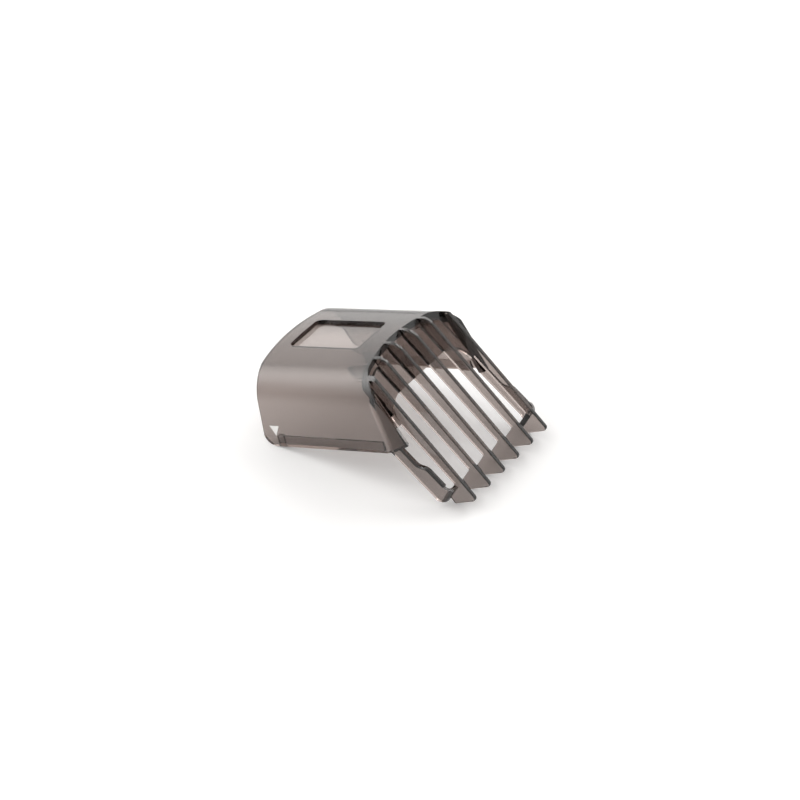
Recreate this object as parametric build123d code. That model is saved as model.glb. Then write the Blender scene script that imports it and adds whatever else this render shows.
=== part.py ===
from build123d import *
import math
import os

os.makedirs("parts", exist_ok=True)

# Comb attachment of a hair clipper.  It is built in the hood's own frame, with
# X towards the teeth, Y across and Z square to the hood's top, and is then
# tilted into its rest pose: on the hood's rear corners and the tooth heels.

# ---- driving dimensions, mm and degrees ----
tooth_count = 6
tooth_thickness = 1.1
tooth_setback = 4.0        # outer fin's outer face, from the hood's widest
tooth_slope = 55.9         # back edge, below the hood's top
taper_angle = 2.5          # between the rim and the back edge
tooth_depth = 3.2          # rim to back edge, at the panel's lower edge
tooth_reach = 24.4         # panel's lower edge to the foot
brow_radius = 5.0          # rounding where a rim leaves the hood
foot_step = 4.1
foot_step_angle = 45.0
heel_forward = 1.3
heel_drop = 2.6
sole_angle = 9.5
nose_radius = 1.0
heel_radius = 0.45
crest_rounding = 0.3       # both long edges of a fin's front
root_rounding = 0.5        # hollow, from a fin's sides into the panel

hood_width = 41.6
hood_height = 19.8
hood_wall = 1.2
hood_top_wall = 2.1
hood_draft = 5.0
hood_shoulder = 8.5
hood_crown = 2.1
hood_top_length = 31.1
rear_arc = 85.0
rear_lean = 5.5
rear_corner = 3.5
front_arc = 65.0
front_lean = 22.8
lip_lead = 5.9             # where the bottom edge starts to rise, ahead of the top
lip_angle = 9.0

rest_start = 4.3
rest_length = 21.1
rest_width = 13.0
rest_depth = 1.1
rest_corner = 1.5

rail_start = 4.3
rail_height = 2.3
rail_reach = 0.75          # inwards from the wall
rail_front_gap = 1.0
detent_length = 1.6
detent_reach = 0.5

cheek_lead_low = 8.4       # bend line of the toed-in front strip, ahead of the top
cheek_lead_high = 5.2      # the same, at the strip's top
cheek_height = 14.2
cheek_toe = 2.3            # inwards, at the front bottom corner
gusset_lead = 2.2          # the strip thickens from this far behind its bend line
gusset_reach = 2.6         # its inner face meets the fin's plane behind the corner
gusset_bevel = 1.2         # its front face runs back by this much, inwards

panel_drop = 8.92
panel_thickness = 1.2
panel_corner = 5.8

arm_thickness = 1.2
arm_slope = 53.2
arm_depth = 3.0
arm_lead = 6.4             # back edge at the hood's bottom edge, ahead of the top
arm_setback = 0.8          # from the hood's widest
arm_rounding = 0.8         # outer front edge, round to the fin
paddle_depth = 4.6
paddle_start = 6.0
paddle_blend = 3.8
bridge_radius = 2.4

mark_start = 3.2
mark_width = 2.9
mark_height = 2.65
mark_low = 2.7
mark_depth = 0.2

# ---- derived sizes ----
half_width = hood_width / 2
beyond = 2 * (hood_top_length + tooth_reach)   # for cutting tools that outreach the comb
lip_start = hood_top_length + lip_lead
cheek_low = hood_top_length + cheek_lead_low
cheek_high = hood_top_length + cheek_lead_high
arm_back = hood_top_length + arm_lead
draft_run = math.tan(math.radians(hood_draft))
ceiling = hood_height - hood_top_wall
lip = (math.cos(math.radians(lip_angle)), math.sin(math.radians(lip_angle)))
comb_half = half_width - tooth_setback
tooth_pitch = (2 * comb_half - tooth_thickness) / (tooth_count - 1)
tooth_ys = [(i - (tooth_count - 1) / 2) * tooth_pitch for i in range(tooth_count)]


def heading(degrees_down):
    """Unit step in the side view, so many degrees below the hood's top."""
    return (math.cos(math.radians(degrees_down)), -math.sin(math.radians(degrees_down)))


def moved(point, direction, distance):
    return (point[0] + direction[0] * distance, point[1] + direction[1] * distance)


def meet(p, d, q, e):
    """Crossing of the line through p along d with the line through q along e."""
    k = ((q[0] - p[0]) * e[1] - (q[1] - p[1]) * e[0]) / (d[0] * e[1] - d[1] * e[0])
    return moved(p, d, k)


# the panel's outer plane leaves the ceiling at the hood's front edge
back_way = heading(tooth_slope)
back_square = (-back_way[1], back_way[0])
rim_way = heading(tooth_slope + taper_angle)
panel_top = (hood_top_length + hood_top_wall * math.tan(math.radians(front_lean)), ceiling)
panel_edge = moved(panel_top, back_way, panel_drop)
rim_point = moved(panel_edge, back_square, tooth_depth)
brow = meet(rim_point, rim_way, (0, hood_height), (1, 0))
step_way = heading(-foot_step_angle)
step_square = (-step_way[1], step_way[0])
foot_front = moved(panel_edge, back_way, tooth_reach)
foot_back = moved(foot_front, step_way, -foot_step)
heel = (foot_back[0] + heel_forward, foot_back[1] - heel_drop)
nose = meet(rim_point, rim_way, heel, heading(-sole_angle))


def side_plate(points, y_low, y_high, rounds=()):
    """Plate square to Y from its side view; rounds are (corner, radius) pairs."""
    face = make_face(Plane.XZ * Polyline(*points, close=True))
    for corner, radius in rounds:
        spot = Vector(corner[0], 0, corner[1])
        face = fillet(face.vertices().sort_by_distance(spot)[0], radius)
    return Pos(0, y_low, 0) * extrude(face, amount=y_high - y_low, dir=(0, 1, 0))


def arch(side_inset, top_inset, bottom):
    """The hood's section as a long solid, made smaller by the two insets."""
    low = half_width - side_inset
    top = hood_height - top_inset
    edge = top - hood_crown
    high = low - edge * draft_run
    base = low - bottom * draft_run
    lines = Polyline((-high, edge), (-base, bottom), (base, bottom), (high, edge))
    lines += ThreePointArc((high, edge), (0, top), (-high, edge))
    face = make_face(Plane.YZ * lines)
    for side in (-1, 1):
        spot = Vector(0, side * high, edge)
        face = fillet(face.vertices().sort_by_distance(spot)[0], hood_shoulder - side_inset)
    return Pos(-beyond / 2, 0, 0) * extrude(face, amount=2 * beyond, dir=(1, 0, 0))


def outer_arch(bottom=0):
    return arch(0, 0, bottom)


def inner_arch():
    return arch(hood_wall, hood_top_wall, -hood_wall)


def rear_round():
    """Solid whose rear is the hood's rear edge: an arc in plan, leaning."""
    reach = rear_arc / math.cos(math.radians(rear_lean))
    return Pos(reach, 0, hood_height) * Rot(0, rear_lean, 0) * Cylinder(rear_arc, beyond)


def front_round():
    """Everything ahead of the hood's front edge, hollow in plan and leaning."""
    reach = hood_top_length + front_arc / math.cos(math.radians(front_lean))
    return Pos(reach, 0, hood_height) * Rot(0, -front_lean, 0) * Cylinder(front_arc, beyond)


def edge_run(arc, lean, y, z):
    """How far an arched, leaning edge runs forward from its top middle point."""
    slant = math.radians(lean)
    sagitta = arc - math.sqrt(arc**2 - y**2)
    return sagitta / math.cos(slant) + (hood_height - z) * math.tan(slant)


def corner_centre():
    """Centre of the walls' rounded rear corners."""
    return edge_run(rear_arc, -rear_lean, half_width - hood_wall, rear_corner) + rear_corner


def rear_corner_waste():
    x = corner_centre()
    points = [(x, -rear_corner), (x, rear_corner), (-beyond, rear_corner), (-beyond, -rear_corner)]
    block = side_plate(points, -half_width, half_width)
    return block - Pos(x, 0, rear_corner) * Rot(90, 0, 0) * Cylinder(rear_corner, 2 * hood_width)


def under_lip():
    """Everything below the rising front part of the hood's bottom edge."""
    far = moved((lip_start, 0), lip, beyond)
    points = [(lip_start, 0), far, (far[0], -beyond), (lip_start, -beyond)]
    return side_plate(points, -hood_width, hood_width)


def beyond_plane(a, b, c):
    """Everything outside or ahead of the plane through three points on the +Y side."""
    outward = (a - b).cross(c - b).normalized()
    if outward.X + outward.Y < 0:
        outward = outward * -1
    return Plane(origin=b, z_dir=outward) * Pos(0, 0, beyond / 2) * Box(beyond, beyond, beyond)


def strip_plane(lead, inset, reach, y_front):
    """Outer or inner face of the +Y wall's front strip, as the waste beyond it."""
    foot = (hood_top_length + edge_run(front_arc, front_lean, half_width - cheek_toe, 0), 0)
    corner = meet((lip_start, 0), lip, foot, heading(-90 - front_lean))
    top = half_width - inset - cheek_height * draft_run
    a = Vector(cheek_high - lead, top, cheek_height)
    b = Vector(cheek_low - lead, half_width - inset, 0)
    return beyond_plane(a, b, Vector(corner[0] - reach, y_front, corner[1]))


def gusset_front():
    """Waste ahead of the gusset's front face, which slants back towards the fin."""
    outer = half_width - cheek_toe
    low = hood_top_length + edge_run(front_arc, front_lean, outer, 0)
    high = hood_top_length + edge_run(front_arc, front_lean, outer, cheek_height)
    a = Vector(high, outer, cheek_height)
    b = Vector(low, outer, 0)
    return beyond_plane(a, b, Vector(low - gusset_bevel, comb_half, 0))


def toed_in(solid, lead, inset, reach, y_front):
    waste = strip_plane(lead, inset, reach, y_front)
    return solid - waste - mirror(waste, about=Plane.XZ)


def arched_shell():
    """The hood's bare wall; its front strips bend inwards and thicken towards the fins."""
    outer = toed_in(outer_arch(), 0, 0, 0, half_width - cheek_toe)
    void = toed_in(inner_arch(), gusset_lead, hood_wall, gusset_reach, comb_half)
    middle = side_plate([(0, -beyond), (beyond, -beyond), (beyond, beyond), (0, beyond)], -comb_half, comb_half)
    wall = outer - void - (middle & inner_arch())
    wall = (wall & rear_round()) - front_round() - under_lip()
    return wall - rear_corner_waste()


def cheek_block():
    """Region of the +Y wall's bent front strip."""
    low = cheek_low - gusset_lead
    high = cheek_high - gusset_lead
    points = [(low, 0), (beyond, 0), (beyond, cheek_height), (high, cheek_height)]
    return side_plate(points, comb_half, half_width)


def rest_prism(z_low, z_high):
    outline = RectangleRounded(rest_length, rest_width, rest_corner)
    prism = extrude(outline, amount=z_high - z_low, dir=(0, 0, 1))
    return Pos(rest_start + rest_length / 2, 0, z_low) * prism


def mark():
    """Triangular paint fill on the +Y wall, pointing down."""
    middle = mark_start + mark_width / 2
    top = mark_low + mark_height
    tilt = math.radians(hood_draft)
    wall = Plane(
        origin=(middle, half_width - top * draft_run, top),
        x_dir=(1, 0, 0),
        z_dir=(0, math.cos(tilt), math.sin(tilt)),
    )
    half = mark_width / 2
    face = make_face(Polyline((-half, 0), (half, 0), (0, mark_height), close=True))
    return wall * extrude(face, amount=mark_depth, dir=(0, 0, -1))


def hood(shell):
    body = shell - rest_prism(ceiling - 2 * hood_crown, hood_height + hood_crown)
    for waste in (cheek_block(), mark()):
        body = body - waste - mirror(waste, about=Plane.XZ)
    return body


def thumb_rest():
    """Thin sunk floor in the hood's top."""
    floor = rest_prism(ceiling - 2 * hood_crown, hood_height - rest_depth)
    return (floor & outer_arch()) - inner_arch()


def rail():
    """Ridge along the inside of the +Y wall's bottom edge, with its detent."""
    end = lip_start - rail_front_gap
    inside = half_width - hood_wall - rail_reach
    ridge = side_plate(box_points(rail_start, end), inside, half_width)
    bump = side_plate(box_points(rail_start, rail_start + detent_length), inside - detent_reach, half_width)
    return (ridge + bump) & inner_arch()


def box_points(start, end):
    return [(start, 0), (end, 0), (end, rail_height), (start, rail_height)]


def front_panel():
    """Sheet behind the teeth; its lower edge runs down into the outer two."""
    plane = Plane(
        origin=(panel_top[0], 0, panel_top[1]),
        x_dir=(back_way[0], 0, back_way[1]),
        z_dir=(back_square[0], 0, back_square[1]),
    )
    inner = comb_half - tooth_thickness
    flat = inner - panel_corner
    low = panel_drop + panel_corner
    bend = panel_corner * (1 - math.sqrt(0.5))
    high = -panel_drop
    lines = Polyline((low, inner), (low, comb_half), (high, comb_half), (high, -comb_half))
    lines += Polyline((high, -comb_half), (low, -comb_half), (low, -inner))
    lines += ThreePointArc((low, -inner), (panel_drop + bend, -inner + bend), (panel_drop, -flat))
    lines += Line((panel_drop, -flat), (panel_drop, flat))
    lines += ThreePointArc((panel_drop, flat), (panel_drop + bend, inner - bend), (low, inner))
    sheet = plane * extrude(make_face(lines), amount=panel_thickness, dir=(0, 0, -1))
    return sheet & inner_arch()


def tooth_root(y):
    """A fin's foot on the panel, with hollow roundings at both sides."""
    plane = Plane(
        origin=(panel_top[0], y, panel_top[1]),
        x_dir=(0, 1, 0),
        z_dir=(back_way[0], 0, back_way[1]),
    )
    near = tooth_thickness / 2
    r = root_rounding
    bend = r * (1 - math.sqrt(0.5))
    lines = Polyline((near, r), (-near, r))
    lines += ThreePointArc((-near, r), (-near - bend, bend), (-near - r, 0))
    lines += Line((-near - r, 0), (near + r, 0))
    lines += ThreePointArc((near + r, 0), (near + bend, bend), (near, r))
    return plane * Pos(0, 0, -panel_drop) * extrude(make_face(lines), amount=2 * panel_drop, dir=(0, 0, 1))


def tooth(y, shell):
    """One fin: flush with the hood's top, down over the panel to its foot."""
    start = hood_top_length - tooth_depth
    points = [(start, ceiling), (start, hood_height), brow, nose, heel, foot_back, foot_front, panel_top]
    rounds = [(brow, brow_radius), (nose, nose_radius), (heel, heel_radius), (foot_front, heel_radius)]
    low = y - tooth_thickness / 2
    fin = side_plate(points, low, low + tooth_thickness, rounds)
    middle = Vector((brow[0] + nose[0]) / 2, y, (brow[1] + nose[1]) / 2)
    fin = fillet(fin.edges().sort_by_distance(middle)[:2], crest_rounding)
    root = tooth_root(y) & side_plate(points, -comb_half, comb_half)
    return ((fin + root) & outer_arch(-beyond)) - shell


arm_way = heading(arm_slope)
arm_square = (-arm_way[1], arm_way[0])
arm_root = meet((lip_start, 0), lip, (arm_back, 0), (0, 1))
arm_outer = half_width - arm_setback
bridge_line = moved(foot_front, step_square, bridge_radius - arm_thickness)


def arm():
    """Flat strip in the +Y wall's plane; it widens to a paddle at its end."""
    wide = moved(arm_root, arm_square, paddle_depth)
    narrow = moved(arm_root, arm_square, arm_depth)
    front = meet(narrow, arm_way, (lip_start, 0), lip)
    low = meet(arm_root, arm_way, bridge_line, step_way)
    high = meet(wide, arm_way, bridge_line, step_way)
    s0 = moved(narrow, arm_way, paddle_start)
    s1 = moved(narrow, arm_way, paddle_start + paddle_blend / 2)
    s2 = moved(wide, arm_way, paddle_start + paddle_blend / 2)
    s3 = moved(wide, arm_way, paddle_start + paddle_blend)
    lines = Polyline(s3, high, low, arm_root, front, s0) + Bezier(s0, s1, s2, s3)
    face = make_face(Plane.XZ * lines)
    strip = Pos(0, arm_outer, 0) * extrude(face, amount=arm_thickness, dir=(0, -1, 0))
    outer_front = Vector((front[0] + s0[0]) / 2, arm_outer, (front[1] + s0[1]) / 2)
    return fillet(strip.edges().sort_by_distance(outer_front)[0], arm_rounding)


def bridge():
    """Bent end wall from the +Y arm to the outer tooth's foot."""
    low = meet(arm_root, arm_way, foot_front, step_way)
    high = meet(moved(arm_root, arm_square, paddle_depth), arm_way, foot_front, step_way)
    plane = Plane(
        origin=(low[0], 0, low[1]),
        x_dir=(-step_square[0], 0, -step_square[1]),
        z_dir=(step_way[0], 0, step_way[1]),
    )
    t = arm_thickness
    r = bridge_radius
    bend = r * (1 - math.sqrt(0.5))
    inner_bend = t + (r - t) * (1 - math.sqrt(0.5))
    lines = Polyline((0, arm_outer - r), (0, comb_half), (t, comb_half), (t, arm_outer - r))
    lines += ThreePointArc((t, arm_outer - r), (t - bend, arm_outer - bend), (t - r, arm_outer))
    lines += Line((t - r, arm_outer), (t - r, arm_outer - t))
    lines += ThreePointArc((t - r, arm_outer - t), (t - inner_bend, arm_outer - inner_bend), (0, arm_outer - r))
    length = math.hypot(high[0] - low[0], high[1] - low[1])
    wall = plane * extrude(make_face(lines), amount=length, dir=(0, 0, 1))
    outer_front = Vector(high[0], (comb_half + arm_outer - bridge_radius) / 2, high[1])
    return fillet(wall.edges().sort_by_distance(outer_front)[0], arm_rounding)


def rest_tilt():
    """Angle that puts the rear corners and the heels on the floor together."""
    sole = heading(-sole_angle)
    up = math.hypot(foot_back[0] - heel[0], foot_back[1] - heel[1])
    back = ((foot_back[0] - heel[0]) / up, (foot_back[1] - heel[1]) / up)
    half = math.acos(sole[0] * back[0] + sole[1] * back[1]) / 2
    middle = moved(moved(heel, sole, 1), back, 1)
    inwards = math.hypot(middle[0] - heel[0], middle[1] - heel[1])
    reach = heel_radius / math.sin(half) / inwards
    centre = (heel[0] + (middle[0] - heel[0]) * reach, heel[1] + (middle[1] - heel[1]) * reach)
    across = centre[0] - corner_centre()
    drop = rear_corner - centre[1]
    return math.atan2(drop, across) - math.asin((rear_corner - heel_radius) / math.hypot(across, drop))


shell = arched_shell()
nodes = {"hood": hood(shell), "thumb_rest": thumb_rest(), "front_panel": front_panel()}
for number, y in enumerate(tooth_ys, 1):
    nodes[f"tooth_{number}"] = tooth(y, shell)
pairs = {
    "rail": rail(),
    "cheek": (shell & cheek_block()) - gusset_front(),
    "arm": arm(),
    "arm_bridge": bridge(),
    "pointer": mark(),
}
for name, solid in pairs.items():
    nodes[f"left_{name}"] = solid
    nodes[f"right_{name}"] = mirror(solid, about=Plane.XZ)

tilted = {name: Rot(0, -math.degrees(rest_tilt()), 0) * solid for name, solid in nodes.items()}
box = Compound(children=[Compound(solid.solids()) for solid in tilted.values()]).bounding_box()
to_origin = Pos(-(box.min.X + box.max.X) / 2, 0, -box.min.Z)
for name, solid in tilted.items():
    placed = (to_origin * solid).solids()
    piece = placed[0] if len(placed) == 1 else Compound(placed)
    export_step(piece, f"parts/{name}.step")
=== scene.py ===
import math

import bmesh
import bpy
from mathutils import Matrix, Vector


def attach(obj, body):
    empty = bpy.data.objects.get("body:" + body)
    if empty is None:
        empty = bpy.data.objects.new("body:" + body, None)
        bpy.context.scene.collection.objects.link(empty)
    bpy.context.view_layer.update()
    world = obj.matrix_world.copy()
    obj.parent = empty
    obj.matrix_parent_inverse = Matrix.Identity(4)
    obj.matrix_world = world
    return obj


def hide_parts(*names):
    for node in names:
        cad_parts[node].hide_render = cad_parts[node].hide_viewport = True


# Looks of a clear smoke-grey comb attachment.  Lengths are in metres, save the lens's.

# ---- camera ----
AZIMUTH = 32.49             # degrees, from the front of the near wall towards the teeth
ELEVATION = 36.19           # degrees above the floor
DISTANCE = 0.7302           # from the target
TARGET = (0.00026, 0.0, 0.00943)
LENS = 137.3                # millimetres, as the sensor
SENSOR = 36
NEAR_CLIP = 0.01

# ---- mesh of the moulding ----
SWELL = 5e-6                # growth of each CAD node, so that it bites into what it touches
NODE_WELD = SWELL / 10      # points of one node closer than this become one
MOULDING_WELD = 0.75 * SWELL  # the same, for the points of the joined moulding
SLIVER = SWELL / 40         # edges shorter than this are closed up
FLAT_ANGLE = 0.3            # degrees: triangles closer than this are one flat face
SMOOTH_ANGLE = 24           # degrees: sharper edges stay creased

# ---- smoke-grey plastic ----
SMOKE_COLOUR = (0.335, 0.235, 0.19, 1)
SMOKE_DENSITY = 1250        # per metre
PLASTIC_IOR = 1.58          # polycarbonate
SHINIEST = 0.03             # roughness, at its least
DULLEST = 0.07              # and at its most
CLOUD_SCALE = 90            # of the noise between the two
CLOUD_DETAIL = 3
RIPPLE = 0.00005            # height of the faint unevenness from the mould
RIPPLE_SCALE = 130
RIPPLE_DETAIL = 1

# ---- white paint of the pointers ----
PAINT_DARKER = (0.93, 0.92, 0.90, 1)
PAINT_PALER = (0.97, 0.96, 0.94, 1)
PAINT_ROUGHNESS = 0.45
GRAIN_SCALE = 900
GRAIN_DETAIL = 2

# ---- white studio ----
STUDIO_WHITE = (1.0, 0.985, 0.97)  # of the lamp and of the sky
KEY_PLACE = (0.0, 0.7, 0.65)
KEY_AIM = (0, 0, 0.01)
KEY_SIZE = 0.6              # across the disk
KEY_POWER = 2.6             # watts
SKY_LEVEL = 0.37            # strength with which the sky lights the part
SKY_SEEN = 1.0              # white, where the eye or the plastic sees the sky itself
SKY_GLOWS = (               # direction, sharpness, strength
    ((-0.81, -0.22, 0.54), 7, 3.7),
    ((-0.70, 0.70, 0.10), 10, 0.8),
    ((0.454, 0.681, 0.574), 12, 0.6),
)
FLOOR_SIZE = 6
PAPER_COLOUR = (0.9, 0.9, 0.9, 1)
PAPER_ROUGHNESS = 0.6
FLOOR_LIFT = 0.2            # how much brighter than lit paper the floor is seen


def placed(name, data):
    """New object in the scene."""
    holder = bpy.data.objects.new(name, data)
    bpy.context.scene.collection.objects.link(holder)
    return holder


def swollen(node):
    """Copy of a CAD node, grown by a few microns so that it bites into what it touches."""
    form = bmesh.new()
    form.from_mesh(node.data)
    bmesh.ops.remove_doubles(form, verts=form.verts, dist=NODE_WELD)
    form.normal_update()
    for corner in form.verts:
        corner.co += corner.normal * SWELL * corner.calc_shell_factor()
    piece = placed("grown_" + node.name, bpy.data.meshes.new(node.name))
    form.to_mesh(piece.data)
    form.free()
    return piece


def fused(frame, names):
    """The moulding is one piece of plastic, so its CAD nodes are joined without inner walls."""
    first, *others = [swollen(frame["nodes"][name]) for name in names]
    for other in others:
        union = first.modifiers.new(other.name, "BOOLEAN")
        union.operation = "UNION"
        union.solver = "MANIFOLD"
        union.object = other
    bpy.context.view_layer.update()
    graph = bpy.context.evaluated_depsgraph_get()
    mesh = bpy.data.meshes.new_from_object(first.evaluated_get(graph))
    for used in (first, *others):
        bpy.data.objects.remove(used)
    return placed("comb_moulding", mesh)


def clean(piece):
    """Welds split points and joins flat triangles, so that edges and shading are clean."""
    piece.data.attributes.remove(piece.data.attributes["custom_normal"])
    form = bmesh.new()
    form.from_mesh(piece.data)
    bmesh.ops.remove_doubles(form, verts=form.verts, dist=MOULDING_WELD)
    bmesh.ops.dissolve_degenerate(form, edges=form.edges, dist=SLIVER)
    bmesh.ops.dissolve_limit(
        form, angle_limit=math.radians(FLAT_ANGLE), verts=form.verts, edges=form.edges
    )
    form.to_mesh(piece.data)
    form.free()
    piece.data.shade_smooth()
    piece.data.set_sharp_from_angle(angle=math.radians(SMOOTH_ANGLE))
    evened = piece.modifiers.new("even_shading", "WEIGHTED_NORMAL")
    evened.keep_sharp = True


def principled(name):
    """New material that is one principled surface, with its tree, surface and output."""
    made = bpy.data.materials.new(name)
    made.use_nodes = True
    tree = made.node_tree
    tree.nodes.clear()
    output = tree.nodes.new("ShaderNodeOutputMaterial")
    surface = tree.nodes.new("ShaderNodeBsdfPrincipled")
    tree.links.new(surface.outputs["BSDF"], output.inputs["Surface"])
    return made, tree, surface, output


def noise(tree, scale, detail):
    """Noise that stays fixed to the object."""
    place = tree.nodes.new("ShaderNodeTexCoord")
    pattern = tree.nodes.new("ShaderNodeTexNoise")
    pattern.inputs["Scale"].default_value = scale
    pattern.inputs["Detail"].default_value = detail
    tree.links.new(place.outputs["Object"], pattern.inputs["Vector"])
    return pattern.outputs["Fac"]


def maths(tree, operation, first, second):
    """Output of a maths node, whose second operand is a number or another node's output."""
    step = tree.nodes.new("ShaderNodeMath")
    step.operation = operation
    tree.links.new(first, step.inputs[0])
    if isinstance(second, bpy.types.NodeSocket):
        tree.links.new(second, step.inputs[1])
    else:
        step.inputs[1].default_value = second
    return step.outputs["Value"]


def smoke_plastic():
    """Clear smoke-grey polycarbonate, polished, with a faint unevenness from the mould."""
    made, tree, body, output = principled("smoke_plastic")
    body.inputs["Base Color"].default_value = (1, 1, 1, 1)
    body.inputs["Transmission Weight"].default_value = 1.0
    body.inputs["IOR"].default_value = PLASTIC_IOR
    rough = tree.nodes.new("ShaderNodeMapRange")
    rough.inputs["To Min"].default_value = SHINIEST
    rough.inputs["To Max"].default_value = DULLEST
    tree.links.new(noise(tree, CLOUD_SCALE, CLOUD_DETAIL), rough.inputs["Value"])
    tree.links.new(rough.outputs["Result"], body.inputs["Roughness"])
    unevenness = tree.nodes.new("ShaderNodeBump")
    unevenness.inputs["Strength"].default_value = 1.0
    unevenness.inputs["Distance"].default_value = RIPPLE
    tree.links.new(noise(tree, RIPPLE_SCALE, RIPPLE_DETAIL), unevenness.inputs["Height"])
    tree.links.new(unevenness.outputs["Normal"], body.inputs["Normal"])
    smoke = tree.nodes.new("ShaderNodeVolumeAbsorption")
    smoke.inputs["Color"].default_value = SMOKE_COLOUR
    smoke.inputs["Density"].default_value = SMOKE_DENSITY
    tree.links.new(smoke.outputs["Volume"], output.inputs["Volume"])
    return made


def white_fill():
    """Opaque white paint, a little uneven."""
    made, tree, paint, _ = principled("white_fill")
    tone = tree.nodes.new("ShaderNodeMixRGB")
    tone.inputs["Color1"].default_value = PAINT_DARKER
    tone.inputs["Color2"].default_value = PAINT_PALER
    tree.links.new(noise(tree, GRAIN_SCALE, GRAIN_DETAIL), tone.inputs["Fac"])
    tree.links.new(tone.outputs["Color"], paint.inputs["Base Color"])
    paint.inputs["Roughness"].default_value = PAINT_ROUGHNESS
    return made


def dress(piece, finish):
    piece.data.materials.clear()
    piece.data.materials.append(finish)


def seen_lift(tree, amount):
    """The amount, for what the eye, or clear or glossy plastic, sees; nothing for the lighting."""
    path = tree.nodes.new("ShaderNodeLightPath")
    seen = path.outputs["Is Camera Ray"]
    for kind in ("Is Transmission Ray", "Is Glossy Ray"):
        seen = maths(tree, "MAXIMUM", seen, path.outputs[kind])
    return maths(tree, "MULTIPLY", seen, amount)


def floor():
    """White paper; the eye, and clear or glossy plastic, see it a little brighter."""
    bpy.ops.mesh.primitive_plane_add(size=FLOOR_SIZE)
    plane = bpy.context.active_object
    plane.name = "floor"
    made, tree, paper, _ = principled("floor_paint")
    paper.inputs["Base Color"].default_value = PAPER_COLOUR
    paper.inputs["Roughness"].default_value = PAPER_ROUGHNESS
    paper.inputs["Emission Color"].default_value = (1, 1, 1, 1)
    tree.links.new(seen_lift(tree, FLOOR_LIFT), paper.inputs["Emission Strength"])
    dress(plane, made)


def key_lamp():
    light = bpy.data.lights.new("key", "AREA")
    light.shape = "DISK"
    light.size = KEY_SIZE
    light.energy = KEY_POWER
    light.color = STUDIO_WHITE
    holder = placed("key", light)
    holder.location = KEY_PLACE
    aim = Vector(KEY_AIM) - Vector(KEY_PLACE)
    holder.rotation_euler = aim.to_track_quat("-Z", "Y").to_euler()


def sky_glow(tree, way, direction, sharpness, strength):
    """Soft bright patch of the white studio, around one direction."""
    towards = tree.nodes.new("ShaderNodeVectorMath")
    towards.operation = "DOT_PRODUCT"
    towards.inputs[1].default_value = Vector(direction).normalized()
    tree.links.new(way, towards.inputs[0])
    facing = maths(tree, "MAXIMUM", towards.outputs["Value"], 0.0)
    narrowed = maths(tree, "POWER", facing, sharpness)
    return maths(tree, "MULTIPLY", narrowed, strength)


def sky():
    """White studio around the part: an even level and a few soft bright patches."""
    world = bpy.data.worlds.new("studio")
    bpy.context.scene.world = world
    world.use_nodes = True
    tree = world.node_tree
    way = tree.nodes.new("ShaderNodeTexCoord").outputs["Generated"]
    total = maths(tree, "ADD", seen_lift(tree, SKY_SEEN - SKY_LEVEL), SKY_LEVEL)
    for direction, sharpness, strength in SKY_GLOWS:
        glow = sky_glow(tree, way, direction, sharpness, strength)
        total = maths(tree, "ADD", glow, total)
    background = tree.nodes["Background"]
    background.inputs["Color"].default_value = (*STUDIO_WHITE, 1)
    tree.links.new(total, background.inputs["Strength"])


def camera():
    azimuth = math.radians(AZIMUTH)
    elevation = math.radians(ELEVATION)
    back = Vector((
        math.sin(azimuth) * math.cos(elevation),
        -math.cos(azimuth) * math.cos(elevation),
        math.sin(elevation),
    ))
    data = bpy.data.cameras.new("camera")
    data.lens = LENS
    data.sensor_width = SENSOR
    data.clip_start = NEAR_CLIP
    eye = placed("camera", data)
    eye.location = Vector(TARGET) + back * DISTANCE
    eye.rotation_euler = (-back).to_track_quat("-Z", "Y").to_euler()
    bpy.context.scene.camera = eye


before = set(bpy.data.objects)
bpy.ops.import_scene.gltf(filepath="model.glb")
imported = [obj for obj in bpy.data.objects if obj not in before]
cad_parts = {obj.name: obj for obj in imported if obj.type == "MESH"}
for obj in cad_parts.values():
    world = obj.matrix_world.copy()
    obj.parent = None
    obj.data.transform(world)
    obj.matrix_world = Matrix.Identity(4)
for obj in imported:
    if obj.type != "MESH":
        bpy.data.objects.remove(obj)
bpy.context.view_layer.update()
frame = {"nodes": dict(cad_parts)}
# The hood comes first and the others follow by name, so that each run joins them alike.
moulded = [name for name in frame["nodes"] if not name.endswith("pointer")]
moulded.sort(key=lambda name: (name != "hood", name))
comb = fused(frame, moulded)
clean(comb)
dress(comb, smoke_plastic())
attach(comb, "root")
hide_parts(*moulded)
paint = white_fill()
for side in ("left", "right"):
    dress(frame["nodes"][side + "_pointer"], paint)
floor()
key_lamp()
sky()
camera()
bpy.context.scene.view_settings.view_transform = "Standard"
